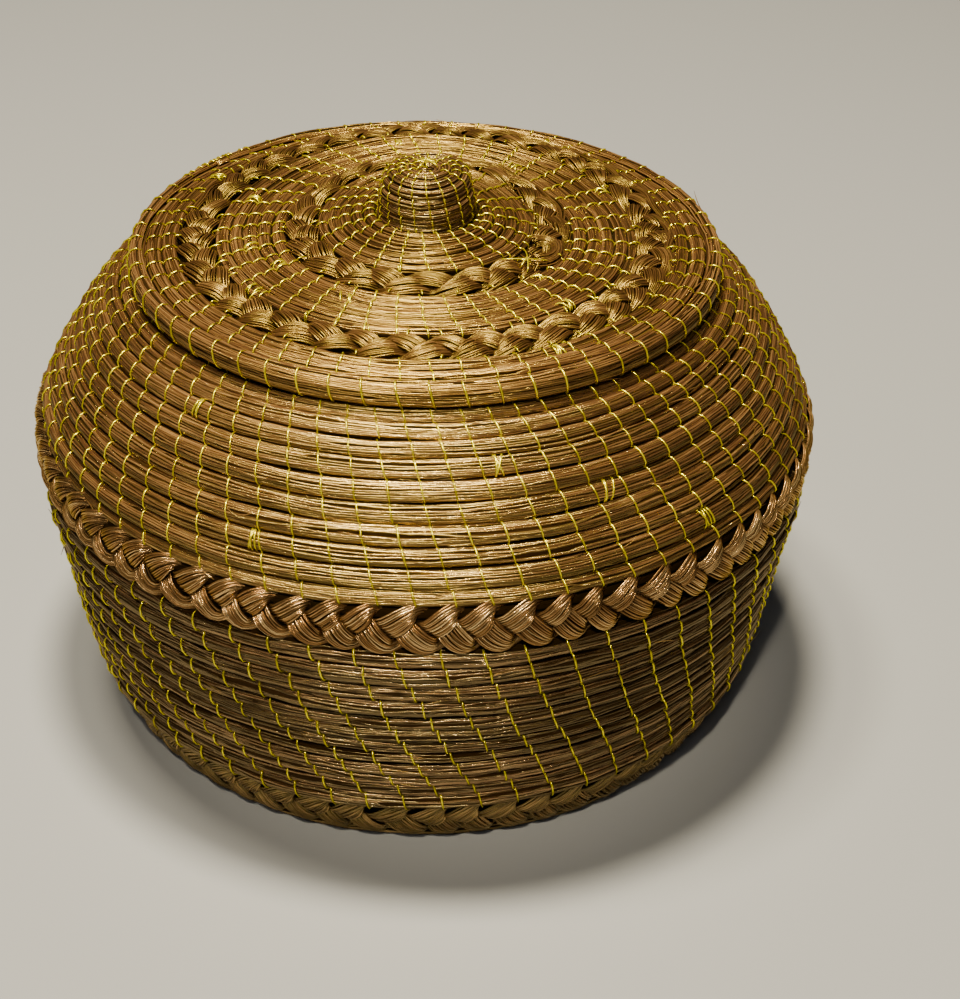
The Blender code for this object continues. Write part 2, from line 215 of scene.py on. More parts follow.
class MeshParts:
    """Collects tubes and makes one mesh of them, with a map of rows and with the needles' attributes.

    band: where the next tubes' rows start on the map, and the share of it that they take.
    """

    def __init__(self):
        self.points, self.quads, self.caps, self.uvs = [], [], [], []
        self.tone, self.shade, self.along, self.lane = [], [], [], []
        self.count = 0
        self.band = (0.0, 1.0)

    def tube(self, rings, tone, shade, along, lane, rows, u, closed=False):
        """rings: n rings of corners. rows, u: each ring's edges on the map, across and along the tube.

        tone and rows: one value or n. along: n. shade and lane: one value, one for each corner or all.
        """
        n, sides, _ = rings.shape
        base = self.count
        flat = np.zeros((n, sides))
        self.points.append(rings.reshape(-1, 3))
        self.tone.append((flat + np.reshape(tone, (-1, 1))).reshape(-1))
        self.shade.append((flat + shade).reshape(-1))
        self.along.append(np.repeat(along, sides))
        self.lane.append((flat + lane).reshape(-1))
        last = n if closed else n - 1
        i = np.arange(last)[:, None]
        j = np.arange(sides)[None, :]
        k = (i + 1) % n
        m = (j + 1) % sides
        quads = np.stack([i * sides + j, i * sides + m, k * sides + m, k * sides + j], -1)
        self.quads.append(base + quads.reshape(-1, 4))
        low, high = (np.broadcast_to(edge, n)[:last, None] for edge in rows)
        across = low + (high - low) * (np.arange(sides + 1) / sides)[None, :]
        across = self.band[0] + self.band[1] * across
        u0, u1 = (np.repeat(u[:last, side][:, None], sides, 1) for side in (0, 1))
        v0, v1 = across[:, :-1], across[:, 1:]
        corners = [np.stack(pair, -1) for pair in ((u0, v0), (u0, v1), (u1, v1), (u1, v0))]
        self.uvs.append(np.stack(corners, -2).reshape(-1, 2))
        if not closed:
            self.caps.append(base + np.arange(sides)[::-1])
            self.caps.append(base + (n - 1) * sides + np.arange(sides))
        self.count += n * sides

    def make(self, name, material, body, slot, replaced=(), lifted=False):
        """Makes the piece. lifted: it follows the raised back of the lid's top."""
        points = np.concatenate(self.points)
        if lifted:
            radius = np.hypot(points[:, 0], points[:, 1])
            back = np.clip(points[:, 1] / np.maximum(radius, 0.1), 0, 1) ** 2
            points[:, 2] += LID_BACK_LIFT * back * np.interp(radius, LID_LIFT_RADII, LID_LIFT_SHARES)
        points = points * MM
        quads = np.concatenate(self.quads)
        loops = np.concatenate([quads.reshape(-1), *self.caps])
        sizes = np.array([4] * len(quads) + [len(cap) for cap in self.caps], np.int32)
        starts = np.concatenate([[0], np.cumsum(sizes)[:-1]]).astype(np.int32)
        mesh = bpy.data.meshes.new(name)
        mesh.vertices.add(len(points))
        mesh.vertices.foreach_set("co", points.astype(np.float32).reshape(-1))
        mesh.loops.add(len(loops))
        mesh.loops.foreach_set("vertex_index", loops.astype(np.int32))
        mesh.polygons.add(len(sizes))
        mesh.polygons.foreach_set("loop_start", starts)
        mesh.polygons.foreach_set("use_smooth", np.ones(len(sizes), bool))
        layers = {"tone": self.tone, "shade": self.shade, "along": self.along, "lane": self.lane}
        for key, values in layers.items():
            layer = mesh.attributes.new(key, "FLOAT", "POINT")
            layer.data.foreach_set("value", np.concatenate(values).astype(np.float32))
        uv = np.concatenate(self.uvs)
        uv = np.concatenate([uv, np.full((len(loops) - len(uv), 2), CAP_UV)])
        mesh.uv_layers.new(name="OFBake").data.foreach_set("uv", uv.astype(np.float32).reshape(-1))
        mesh.update(calc_edges=True)
        mesh.validate()
        mesh.materials.append(material)
        piece = bpy.data.objects.new(name, mesh)
        bpy.context.scene.collection.objects.link(piece)
        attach(piece, body)
        if replaced:
            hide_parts(*replaced)


def turned(place, angle):
    """Radius and height at an angle, as a point."""
    return np.stack([place[..., 0] * np.cos(angle), place[..., 0] * np.sin(angle), place[..., 1]], -1)


def angle_off(angle, other):
    """How far one angle is past another, from minus to plus half a turn."""
    return np.angle(np.exp(1j * (angle - other)))


def course_edge(turns, courses):
    """How far along the coil's width, as a share, the upper edge of its round lies after some turns."""
    marks = np.concatenate([[0], np.cumsum(courses)]) / sum(courses)
    turns = np.clip(turns, 0, len(courses) - 1e-9)
    course = turns.astype(int)
    climb = np.minimum(1, (turns - course) / CLIMB_SHARE)
    return marks[course] + (marks[course + 1] - marks[course]) * climb * climb * (3 - 2 * climb)


class Coil:
    """A bundle that winds over a line, or from start to end on it. Its section is a rounded box.

    seam: where it starts, as a share of a turn. shift: how far the stitches move from round to round, as a
    share of the way to the next one. slack: how much shallower than wide its section is.
    """

    def __init__(self, line, courses, seam, stitches, seed, shift=0.1, slack=0.25, steps=None, start=0,
                 end=None):
        steps = steps or STEPS_PER_STITCH * stitches
        end = end or line.length
        first = start + SEAT_GAP - ROUND_GAP / 2
        width = end - first - SEAT_GAP + ROUND_GAP / 2
        count = len(courses)
        turns = np.arange(0, (count + 1) * steps) / steps
        upper = course_edge(turns, courses)
        lower = course_edge(turns - 1, courses)
        course = np.array(courses)[np.minimum(turns.astype(int), count - 1)] / sum(courses)
        lower[turns <= 1] = 0
        keep = (upper - lower) / course > THINNEST_ROUND
        self.turns = turns[keep]
        self.steps = steps
        self.stitches = stitches
        self.shift = shift
        self.courses = count
        self.angle = TURN * (self.turns + seam)
        place, self.way, self.out = line.at(first + width * (upper + lower)[keep] / 2)
        half = width * (upper - lower)[keep] / 2
        self.distance = np.concatenate([[0], np.cumsum(TURN / steps * place[:-1, 0])])
        outward = UNEVEN_OUT * Waves(seed)(self.distance)
        across = UNEVEN_ACROSS * Waves(seed + 1, ACROSS_WAVES)(self.distance)
        self.place = place + self.out * outward[:, None] + self.way * across[:, None]
        self.half = half * (1 + UNEVEN_WIDTH * Waves(seed + 2)(self.distance))
        self.deep = half - slack

    def pinch(self, turns):
        """1 under a stitch and 0 half way between two stitches."""
        return 0.5 + 0.5 * np.cos(TURN * (turns * self.stitches + self.shift * np.floor(turns)))

    def section(self, index, phi, scale=1.0, lift=0.0):
        """A point on the section, phi from the outer side towards the next round, and its way out."""
        s, c = np.sin(phi), np.cos(phi)
        across = np.sign(s) * np.abs(s) ** SECTION_POWER
        outward = np.sign(c) * np.abs(c) ** SECTION_POWER
        half, deep = self.half[index], self.deep[index]
        swell = 1 - PINCH * self.pinch(self.turns[index])
        place = self.place[index] + self.way[index] * (across * half * scale)[..., None]
        place = place + self.out[index] * ((outward * deep * scale * swell) + lift * c)[..., None]
        place = place + self.way[index] * (lift * s)[..., None]
        normal = self.way[index] * (s * deep)[..., None] + self.out[index] * (c * half)[..., None]
        return place, normal / np.linalg.norm(normal, axis=-1, keepdims=True)

    def stations(self, every):
        """Every so manieth step, the whole rounds before each, and where each starts and ends on the map."""
        last = len(self.turns) - 1
        index = np.unique(np.append(np.arange(0, last + 1, every), last))
        whole = np.floor(self.turns + 1e-6)
        start = (self.turns - whole)[index]
        return index, whole[index], np.stack([start, np.minimum(start + every / self.steps, 1)], -1)

    def map_rows(self, whole, rows, row):
        """Lower and upper edge on the map of a row, where each round takes so many rows."""
        total = rows * (self.courses + 1)
        low = (whole * rows + row) / total
        return low, low + ROW_SHARE / total


class Rim(Coil):
    """One closed round of an even section, in the middle of an upright line."""

    def __init__(self, line, radius, wide, tall, seam, stitches):
        self.steps = STEPS_PER_STITCH * stitches
        self.stitches = stitches
        self.shift = 0.0
        self.courses = 1
        self.turns = np.arange(self.steps + 1) / self.steps
        self.angle = TURN * (self.turns + seam)
        place, self.way, self.out = line.at(np.full(self.steps + 1, line.length / 2))
        self.place = place + self.out * (0.12 * np.sin(TURN * self.turns * 3 + 1))[:, None]
        self.half = np.full(self.steps + 1, tall / 2)
        self.deep = np.full(self.steps + 1, wide / 2)
        self.distance = self.turns * TURN * radius


def needle_ring(place, normal, radius, angle):
    """Three corners of a needle's section: its ridge, pointing out, and its two lower corners."""
    side = np.stack([-normal[..., 1], normal[..., 0]], -1)
    ridge = place + normal * radius[:, None]
    aside = side * (radius * NEEDLE_WIDE)[:, None]
    below = normal * (radius * NEEDLE_LOW)[:, None]
    corners = np.stack([ridge, place - aside - below, place + aside - below], 1)
    return turned(corners, angle[:, None])


def chance(*keys):
    """A repeatable number from 0 to 1 for each set of keys."""
    mixed = sum(np.asarray(key, float) * factor for key, factor in zip(keys, CHANCE_FACTORS))
    return np.modf(np.abs(np.sin(mixed)) * CHANCE_SCALE)[0]


def needle_lengths(distance, draw):
    """Which needle of a strand lies at each place, how far along it that is, and how thick it is there."""
    ends = [-draw.uniform(0, NEEDLE_LENGTHS[1])]
    while ends[-1] < distance[-1]:
        ends.append(ends[-1] + draw.uniform(*NEEDLE_LENGTHS))
    ends = np.array(ends)
    number = np.clip(np.searchsorted(ends, distance, "right") - 1, 0, len(ends) - 2)
    share = (distance - ends[number]) / (ends[number + 1] - ends[number])
    off = np.minimum(distance - ends[number], ends[number + 1] - distance)
    thick = NEEDLE_END + (1 - NEEDLE_END) * np.clip(off / NEEDLE_JOINT, 0, 1)
    return number, np.clip(share, 0, 1), thick


def add_strands(parts, coil, count, arc, every, seed, rows, row=0, tone_and_light_shift=0.0, uneven=0.28, fat=0.5,
                drifting=0.2):
    """A layer of needles on part of the coil's section.

    count: needles side by side on the arc, which is two angles in degrees. every: how many of the coil's
    steps one of theirs takes. rows: how many rows a round takes on the map, and row: the first of theirs.
    uneven: how much deeper some lie. fat and drifting: radius and straying, as shares of a needle's room.
    """
    draw = np.random.default_rng(seed)
    index, whole, map_u = coil.stations(every)
    distance = coil.distance[index]
    pitch = math.radians(arc[1] - arc[0]) / count
    size = (coil.half[index] + coil.deep[index]) / 2
    for lane in range(count):
        number, share, thick = needle_lengths(distance, draw)
        drift = Waves(seed * 31 + lane)(distance) + Waves(seed * 37 + lane, DRIFT_WAVES)(distance)
        crossing = chance(number, lane, seed) > CROSSING_RARE
        swerve = np.where(crossing, CROSSING_SWERVE * np.sin(TURN * share * 2 + lane), 0.0)
        phi = math.radians(arc[0]) + pitch * (lane + 0.5 + drifting * drift + swerve)
        radius = fat * pitch * size * thick * (LEAST_THICK + MORE_THICK * chance(number, lane, seed + 1))
        lift = LIFT_HEIGHT * Waves(seed * 57 + lane, LIFT_WAVES)(distance)
        lift = lift + np.where(crossing, CROSSING_LIFT, 0.0) - uneven * chance(number, lane, seed + 5)
        place, normal = coil.section(index, phi, 1.0, lift - NEEDLE_SUNK * radius)
        # tone_and_light_shift lightens every needle: partly its own tone, partly painted light
        tone = chance(number, lane, seed + 2) + tone_and_light_shift
        parts.tube(needle_ring(place, normal, radius, coil.angle[index]), tone, NEEDLE_SHADE, distance,
                   lane * LANE_STEP + 0.37 * seed + NEEDLE_SIDES,
                   coil.map_rows(whole, rows, row + lane), map_u)


def add_filling(parts, coil):
    """The inside of a coil in painted shade: needles deeper down, and on both sides a darker edge that closes
    the wall.
    """
    index, whole, map_u = coil.stations(FILLING_EVERY)
    ring, shade = [], []
    for corner in reversed(range(FILLING_CORNERS)):
        phi = math.radians(corner * 30)
        if corner in FILLING_EDGES:
            edge = (math.sin(phi) * FILLING_EDGE_SHARE * coil.half[index])[:, None]
            place = coil.place[index] + coil.way[index] * edge
        else:
            place, _ = coil.section(index, np.full(len(index), phi), FILLING_SHARE)
        ring.append(turned(place, coil.angle[index]))
        # Painted shade: 0 on the darkest corners, 0.1 on the rest
        shade.append(0.0 if corner in FILLING_SHADED else 0.1)
    tone = chance(np.floor(coil.distance[index] / FILLING_PATCH), 0, coil.courses) * 0.6
    parts.tube(np.stack(ring, 1), tone, np.array(shade), coil.distance[index],
               np.arange(FILLING_CORNERS) * 2.2, coil.map_rows(whole, 1, 0), map_u)


def add_bundle(parts, hidden, coil, outer, inner, seed):
    """So many needles on a coil's outer side and on its inner side, over a filling in painted shade."""
    rows = outer + inner + 1
    inner_arc = (OUTER_ARC + ARC_GAP, 360 - ARC_GAP - OUTER_ARC)
    add_strands(parts, coil, outer, (-OUTER_ARC, OUTER_ARC), 1, seed, rows)
    add_strands(parts, coil, inner, inner_arc, 2, seed + 1, rows, outer)
    add_filling(hidden, coil)


def thin_tube(parts, path, radius, tone, tip=0.6, crease_shade=1.0):
    """A thin tube along a path of points, thinner towards its last point."""
    way = np.gradient(path, axis=0)
    way /= np.linalg.norm(way, axis=1)[:, None]
    helper = np.cross(way, path - np.array([0, 0, path[:, 2].mean() - 20]))
    helper /= np.linalg.norm(helper, axis=1)[:, None]
    other = np.cross(way, helper)
    turn = np.arange(4) * TURN / 4
    n = len(path)
    thick = np.full(n, radius)
    thick[0] *= 0.6
    thick *= 1 - (1 - tip) * np.linspace(0, 1, n) ** 3
    spokes = helper[:, None, :] * np.cos(turn)[:, None] + other[:, None, :] * np.sin(turn)[:, None]
    share = np.linspace(0, 1, n)
    # Painted shade: crease_shade below 1 darkens two of the tube's four sides
    shade = np.array([crease_shade, 1.0, crease_shade, 1.0])
    rings = path[:, None, :] + thick[:, None, None] * spokes
    u = np.stack([share, np.minimum(share + 1 / n, 1)], -1)
    parts.tube(rings, tone, shade, share * n, tone * 10, (0, 1), u)


def stitch(parts, coil, mid, slant, radius, tone, phi):
    """One loop of thread over a round of the coil, where it has made so many turns."""
    first, last = coil.turns[0], coil.turns[-1]
    ring_radius = np.interp(mid, coil.turns, coil.place[:, 0])
    turns = np.clip(mid - slant * np.sin(phi) / (2 * ring_radius * TURN), first, last)
    exact = np.interp(turns, coil.turns, np.arange(len(coil.turns)))
    index = np.minimum(exact.astype(int), len(coil.turns) - 2)
    part = exact - index
    a, _ = coil.section(index, phi, 1.0, radius * 0.5)
    b, _ = coil.section(index + 1, phi, 1.0, radius * 0.5)
    angle = coil.angle[index] + (coil.angle[index + 1] - coil.angle[index]) * part
    thin_tube(parts, turned(a + (b - a) * part[:, None], angle), radius, tone)


def add_stitches(parts, coil, seed, radius, slant, low, high, points, spacing=0.0):
    """Loops of thread over each round, from angle high to angle low of its section, in degrees.

    slant: how far along the coil a stitch runs from its upper to its lower end. spacing: the least
    distance between two stitches, where some are left out near the middle of the knob.
    """
    draw = np.random.default_rng(seed)
    first, last = coil.turns[0], coil.turns[-1]
    end_room = 0.002
    phi = np.radians(np.linspace(high, low, points))
    for k in range(int(first * coil.stitches), int((last + 1) * coil.stitches)):
        course = k // coil.stitches
        mid = (k + 0.5 - coil.shift * course) / coil.stitches
        mid += draw.uniform(-0.035, 0.035) / coil.stitches
        tilt, tone, thick = draw.uniform(0.7, 1.3), draw.uniform(), radius * draw.uniform(0.88, 1.15)
        if not first + end_room < mid < last - end_room:
            continue
        ring_radius = np.interp(mid, coil.turns, coil.place[:, 0])
        skip = max(1, round(spacing * coil.stitches / (TURN * ring_radius)))
        if k % skip:
            continue
        stitch(parts, coil, mid, slant * tilt, thick, tone, phi)


def add_knot(parts, coil, angle, radius, seed, count=3, room=1.6):
    """A few crossed stitches, where a new thread begins: near an angle in degrees and a radius."""
    draw = np.random.default_rng(seed)
    aside = np.abs(angle_off(coil.angle, math.radians(angle))) * radius
    mid = coil.turns[np.argmin(aside + np.abs(coil.place[:, 0] - radius))]
    phi = np.radians(np.linspace(95, -95, 7))
    for _ in range(count):
        place = mid + draw.uniform(-room, room) / (TURN * radius)
        slant, thick, tone = draw.uniform(-2.2, 2.6), draw.uniform(0.27, 0.36), draw.uniform(0.3, 1)
        stitch(parts, coil, place, slant, thick, tone, phi)


def add_cross_stitches(parts, line, start, end, count, seed):
    """Threads that hold a braid's edge: from start to end along the line, low and high above it."""
    low, high, chance_left = 2.1, 1.2, 0.7
    draw = np.random.default_rng(seed)
    share = np.linspace(0, 1, 6)
    for k in range(count):
        angle = TURN * (k + 0.5 + draw.uniform(-0.2, 0.2)) / count
        slant, reach, tone = draw.uniform(-0.6, 1.0), draw.uniform(0.6, 1.1), draw.uniform()
        if draw.uniform() > chance_left:
            continue
        place, _, out = line.at(start + (end - start) * reach * share)
        dive = 1.2 * np.clip(share - 0.8, 0, 1) / 0.2
        height = low + (high - low) * share + 0.5 * np.sin(math.pi * share) - dive
        points = place + out * height[:, None]
        thin_tube(parts, turned(points, angle + slant * (share - 0.5) / place[:, 0]), 0.26, tone)


def add_strays(parts, coil, count, seed, longest=16.0, rise=2.2):
    """Needles whose ends have come loose from a coil's outer side."""
    draw = np.random.default_rng(seed)
    for _ in range(count):
        at = draw.integers(6, len(coil.turns) - 8)
        phi = math.radians(draw.uniform(-55, 55))
        length = draw.uniform(4, longest)
        lift = draw.uniform(0.3, 1) ** 2 * rise
        side = draw.uniform(-1.6, 1.6)
        place, normal = coil.section(np.array([at]), np.array([phi]), 1.0, -0.1)
        share = np.linspace(0, 1, 7)
        points = place + normal * (lift * share**2)[:, None] + coil.way[at] * (side * share**2)[:, None]
        way_round = 1 if draw.uniform() < 0.7 else -1
        angle = coil.angle[at] + way_round * length * share / place[0, 0]
        thin_tube(parts, turned(points, angle), draw.uniform(0.12, 0.2), draw.uniform(0.2, 1.1), 0.3)


def add_loose_bundle(parts, line, distance, first, last, needles, seed):
    """A bundle of needles that lies along a braid's edge, from angle first to angle last in degrees."""
    wide, high, wave = 2.2, 2.9, 0.5
    draw = np.random.default_rng(seed)
    place, way, out = line.at(np.array([distance]))
    length = abs(math.radians(last - first)) * place[0, 0]
    share = np.linspace(0, 1, max(8, int(length / 1.2)))
    angle = np.radians(first + (last - first) * share)
    hump = np.sin(math.pi * share) ** 0.5
    swing = wave * np.sin(TURN * share * length / 15 + draw.uniform(0, TURN))
    for j in range(needles):
        aside = j / (needles - 1) - 0.5
        across = aside * wide * hump + swing + draw.uniform(-0.2, 0.2)
        height = high * hump - 0.5 + 0.35 * math.cos(2.6 * aside) + 0.15 * np.sin(share * 9 + j)
        height = height - draw.uniform(0, 0.35)
        points = place + way * across[:, None] + out * height[:, None]
        thin_tube(parts, turned(points, angle), draw.uniform(0.2, 0.27), draw.uniform(0.3, 1.3), 0.5, 0.2)


class Braid:
    """A ring of three strands, each a flat fan of needles, plaited along a turned stretch."""

    def __init__(self, low, high, proud, periods, way_round, phase=0.0):
        low, high = np.array(low, float), np.array(high, float)
        self.width = float(np.linalg.norm(high - low))
        self.way = (high - low) / self.width
        self.out = np.array([self.way[1], -self.way[0]])
        self.middle = (low + high) / 2 + self.out * proud
        self.periods = periods
        self.way_round = way_round
        self.phase = phase

    def point(self, share, across, height, ahead):
        """Places at shares of the ring: across its width, over its middle line and ahead along it."""
        place = self.middle + self.way * across[..., None] + self.out * height[..., None]
        angle = self.way_round * (TURN * share + ahead / self.middle[0]) + self.phase
        return turned(place, angle)


def add_hidden_ring(parts, corners, distance):
    """A closed tube in painted shade. corners: for each corner of its section, its points round the ring."""
    n = len(distance)
    share = np.arange(n) / n
    # Tone 0.1 and shade 0: the darkest painted shade
    parts.tube(np.stack(corners, 1), 0.1, 0.0, distance, 0.5, (0, ROW_SHARE),
               np.stack([share, share + 1 / n], -1), True)


def add_braid(parts, hidden, braid, radius, strand, tip, rise, seed, droop=0.7, hollow=NO_HOLLOW):
    """A braid's needles, and a hidden ring in painted shade under them.

    strand: a strand's width. tip: its share that is left where it turns. rise: how far it goes over and
    under. droop: how much lower the edges lie. hollow: the angle, half width and depth of a sunk place.
    """
    draw = np.random.default_rng(seed)
    steps = BRAID_STEPS * braid.periods
    share = np.arange(steps) / steps
    distance = share * TURN * braid.middle[0]
    total = 3 * BRAID_NEEDLES + 1
    u = np.stack([share, share + 1 / steps], -1)
    angle = braid.way_round * TURN * share + braid.phase
    outward = turned(np.tile(braid.out, (steps, 1)), angle)
    sway = braid.width / 2 - strand * tip / 2 + BRAID_ROOM
    sunk = hollow[2] * np.exp(-((angle_off(angle, hollow[0]) / hollow[1]) ** 2))
    for k in range(3):
        wobble = Waves(seed + 7 * k, BRAID_WAVES)
        theta = TURN * (braid.periods * share + k / 3) + 0.2 * Waves(seed + 70, BRAID_PHASE_WAVES)(distance)
        swing = sway * (1 + 0.06 * wobble(distance))
        across = swing * (np.sin(theta) - 0.05 * np.sin(3 * theta)) / 1.05
        slope = swing * (np.cos(theta) - 0.15 * np.cos(3 * theta)) / 1.05 * braid.periods / braid.middle[0]
        heading = np.arctan(slope)
        over = np.tanh(STEEP * np.sin(2 * theta)) / math.tanh(STEEP)
        narrow = (1 - tip) * np.sin(theta - TURN_LATE) ** 4
        wide = strand * (1 - narrow) * (1 + 0.1 * wobble(distance + 17))
        # Painted shade where a strand passes under the others, times each corner's painted shade
        light = 0.4 + 0.6 * np.clip(0.5 + 0.7 * over, 0, 1)
        shade = BRAID_SHADE * light[:, None]
        for j in range(BRAID_NEEDLES):
            offset = (j + 0.5) / BRAID_NEEDLES - 0.5
            stray = 0.15 * Waves(seed * 3 + 11 * k + j, BRAID_STRAY_WAVES)(distance)
            d = wide * offset + stray
            x = across + d * np.cos(heading)
            dome = BRAID_CROWN * (1 - 4 * offset**2) - BRAID_SAG * narrow * 4 * offset**2
            h = rise * over + dome - droop * (x / (braid.width / 2)) ** 2
            h = h + 0.12 * Waves(seed * 5 + 13 * k + j, BRAID_STRAY_WAVES[:3])(distance) - sunk
            thick = radius * (0.88 + 0.26 * float(chance(j, k, seed)))
            path = braid.point(share, x, h, -d * np.sin(heading))
            way = np.roll(path, -1, 0) - np.roll(path, 1, 0)
            way /= np.linalg.norm(way, axis=1)[:, None]
            side = np.cross(outward, way)
            side /= np.linalg.norm(side, axis=1)[:, None]
            up = np.cross(way, side)
            corners = [path + up * thick, path - side * thick, path - up * thick * 0.8, path + side * thick]
            number = np.floor(distance / draw.uniform(90, 160) + draw.uniform())
            lane = k * BRAID_NEEDLES + j
            low = lane / total
            parts.tube(np.stack(corners, 1), chance(number, j, k, seed), shade, distance,
                       lane * LANE_STEP + 0.61 * seed + BRAID_SIDES, (low, low + ROW_SHARE / total), u, True)
    corners = []
    for a in HIDDEN_ANGLES[:: -braid.way_round]:
        corners.append(braid.point(share, np.full(steps, braid.width * 0.38 * math.cos(a)),
                                   -0.9 + 0.5 * math.sin(a) - sunk, np.zeros(steps)))
    add_hidden_ring(hidden, corners, distance)


def add_closing(parts, line, distance, wide, low, high):
    """A hidden ring of needles under a joint: how wide to each side, and from low to high over the line."""
    place, way, out = line.at(np.array([distance]))
    share = np.arange(CLOSING_STEPS) / CLOSING_STEPS
    corners = []
    for a in HIDDEN_ANGLES[::-1]:
        height = (low + high) / 2 + (high - low) / 2 * math.sin(a)
        point = place[0] + way[0] * wide * math.cos(a) + out[0] * height
        corners.append(turned(np.tile(point, (CLOSING_STEPS, 1)), TURN * share))
    # The ring is drawn in painted shade
    add_hidden_ring(parts, corners, share * TURN * place[0, 0])


def new_material(name):
    """A material, with its nodes, their links and its shader."""
    material = bpy.data.materials.new(name)
    material.use_nodes = True
    tree = material.node_tree
    return material, tree.nodes, tree.links, tree.nodes["Principled BSDF"]


def add_node(nodes, kind, **values):
    """A node with values on its inputs."""
    node = nodes.new(kind)
    set_inputs(node, **values)
    return node


def set_inputs(node, **values):
    """Sets inputs by name, with _ for a space."""
    for key, value in values.items():
        node.inputs[key.replace("_", " ")].default_value = value


def add_ramp(nodes, *stops):
    """A colour ramp: each stop is a position and a colour."""
    node = nodes.new("ShaderNodeValToRGB")
    elements = node.color_ramp.elements
    for k, (position, colour) in enumerate(stops):
        stop = elements[k] if k < 2 else elements.new(position)
        stop.position = position
        stop.color = (*colour, 1)
    return node


def needle_material(name, dark, middle, light, rough, crease_shade_width, gloss, tint, metal=0.3):
    """Dry glossy needles: each has its own tone, streaks run along it, and painted shade darkens it between
    two needles.
    """
    material, nodes, links, shader = new_material(name)

    def attribute(key):
        node = nodes.new("ShaderNodeAttribute")
        node.attribute_name = key
        return node.outputs["Fac"]

    def maths(operation, a, b, clamp=False):
        node = nodes.new("ShaderNodeMath")
        node.operation = operation
        node.use_clamp = clamp
        for socket, value in zip(node.inputs, (a, b)):
            if isinstance(value, (int, float)):
                socket.default_value = value
            else:
                links.new(value, socket)
        return node.outputs[0]

    place = nodes.new("ShaderNodeCombineXYZ")
    links.new(maths("MULTIPLY", attribute("along"), 0.1), place.inputs[0])
    links.new(maths("MULTIPLY", attribute("lane"), 2.0), place.inputs[1])
    streak = add_node(nodes, "ShaderNodeTexNoise", Scale=1.0, Detail=4.0, Roughness=0.6)
    links.new(place.outputs[0], streak.inputs["Vector"])
    strong = maths("ADD", maths("MULTIPLY", streak.outputs["Fac"], 2.3), -0.65)
    patch = add_node(nodes, "ShaderNodeTexNoise", Scale=30.0, Detail=3.0)
    links.new(nodes.new("ShaderNodeTexCoord").outputs["Object"], patch.inputs["Vector"])

    tone = maths("ADD", maths("MULTIPLY", attribute("tone"), 0.48), maths("MULTIPLY", strong, 0.5))
    tone = maths("ADD", tone, maths("MULTIPLY", patch.outputs["Fac"], 0.5))
    ramp = add_ramp(nodes, (0.05, dark), (0.95, light), (0.5, middle))
    links.new(maths("SUBTRACT", tone, 0.25, True), ramp.inputs["Fac"])
    # Painted shade: the colour darkens towards each needle's lower corners, where two needles meet
    crease_shade = add_ramp(nodes, (0.0, (0.13, 0.065, 0.03)), (crease_shade_width, (1, 1, 1)))
    links.new(attribute("shade"), crease_shade.inputs["Fac"])
    mix = nodes.new("ShaderNodeMix")
    mix.data_type = "RGBA"
    mix.blend_type = "MULTIPLY"
    mix.inputs["Factor"].default_value = 1.0
    links.new(ramp.outputs["Color"], mix.inputs["A"])
    links.new(crease_shade.outputs["Color"], mix.inputs["B"])
    links.new(mix.outputs["Result"], shader.inputs["Base Color"])

    hidden = maths("MULTIPLY", maths("SUBTRACT", 0.3, attribute("shade"), True), 1.6)
    uneven = maths("ADD", maths("MULTIPLY", strong, 0.2), maths("MULTIPLY", attribute("tone"), -0.14))
    uneven = maths("ADD", uneven, rough - 0.03)
    links.new(maths("ADD", uneven, hidden, True), shader.inputs["Roughness"])
    bump = add_node(nodes, "ShaderNodeBump", Strength=0.4, Distance=0.00015)
    links.new(strong, bump.inputs["Height"])
    links.new(bump.outputs["Normal"], shader.inputs["Normal"])
    set_inputs(shader, Metallic=metal, IOR=2.1, Specular_IOR_Level=gloss, Specular_Tint=(*tint, 1))
    return material


def thread_material():
    """Yellow glossy sewing thread."""
    material, nodes, links, shader = new_material("thread")
    attribute = nodes.new("ShaderNodeAttribute")
    attribute.attribute_name = "tone"
    ramp = add_ramp(nodes, (0.0, (0.42, 0.35, 0.002)), (1.0, (0.8, 0.7, 0.005)))
    links.new(attribute.outputs["Fac"], ramp.inputs["Fac"])
    links.new(ramp.outputs["Color"], shader.inputs["Base Color"])
    set_inputs(shader, Metallic=0.75, Roughness=0.27, Specular_Tint=(1, 0.94, 0.2, 1))
    return material


# Materials: each has its darkest, middle and lightest colour first
WALL = needle_material(
    "wall_needles", (0.014, 0.0046, 0.0018), (0.08, 0.035, 0.0145), (0.32, 0.18, 0.066),
    rough=0.24, crease_shade_width=0.4, gloss=1.0, tint=(1, 0.75, 0.2))
# The lower wall's needles are darker than the upper wall's: partly their own tone, partly painted shade under
# the shoulder
LOWER = needle_material(
    "lower_wall_needles", (0.006, 0.0022, 0.0013), (0.028, 0.0105, 0.005), (0.36, 0.2, 0.095),
    rough=0.25, crease_shade_width=0.8, gloss=0.9, tint=(1, 0.74, 0.32))
LID = needle_material(
    "lid_needles", (0.018, 0.006, 0.0025), (0.091, 0.04, 0.0165), (0.3, 0.167, 0.058),
    rough=0.28, crease_shade_width=0.64, gloss=0.75, tint=(1, 0.72, 0.12))
KNOB = needle_material(
    "knob_needles", (0.008, 0.003, 0.002), (0.085, 0.037, 0.018), (0.42, 0.24, 0.1),
    rough=0.24, crease_shade_width=0.8, gloss=1.0, tint=(1, 0.77, 0.25))
PLAIT = needle_material(
    "plait_needles", (0.012, 0.004, 0.0015), (0.34, 0.165, 0.055), (1.0, 0.73, 0.34),
    rough=0.23, crease_shade_width=0.85, gloss=1.0, tint=(1, 0.82, 0.36), metal=0.85)
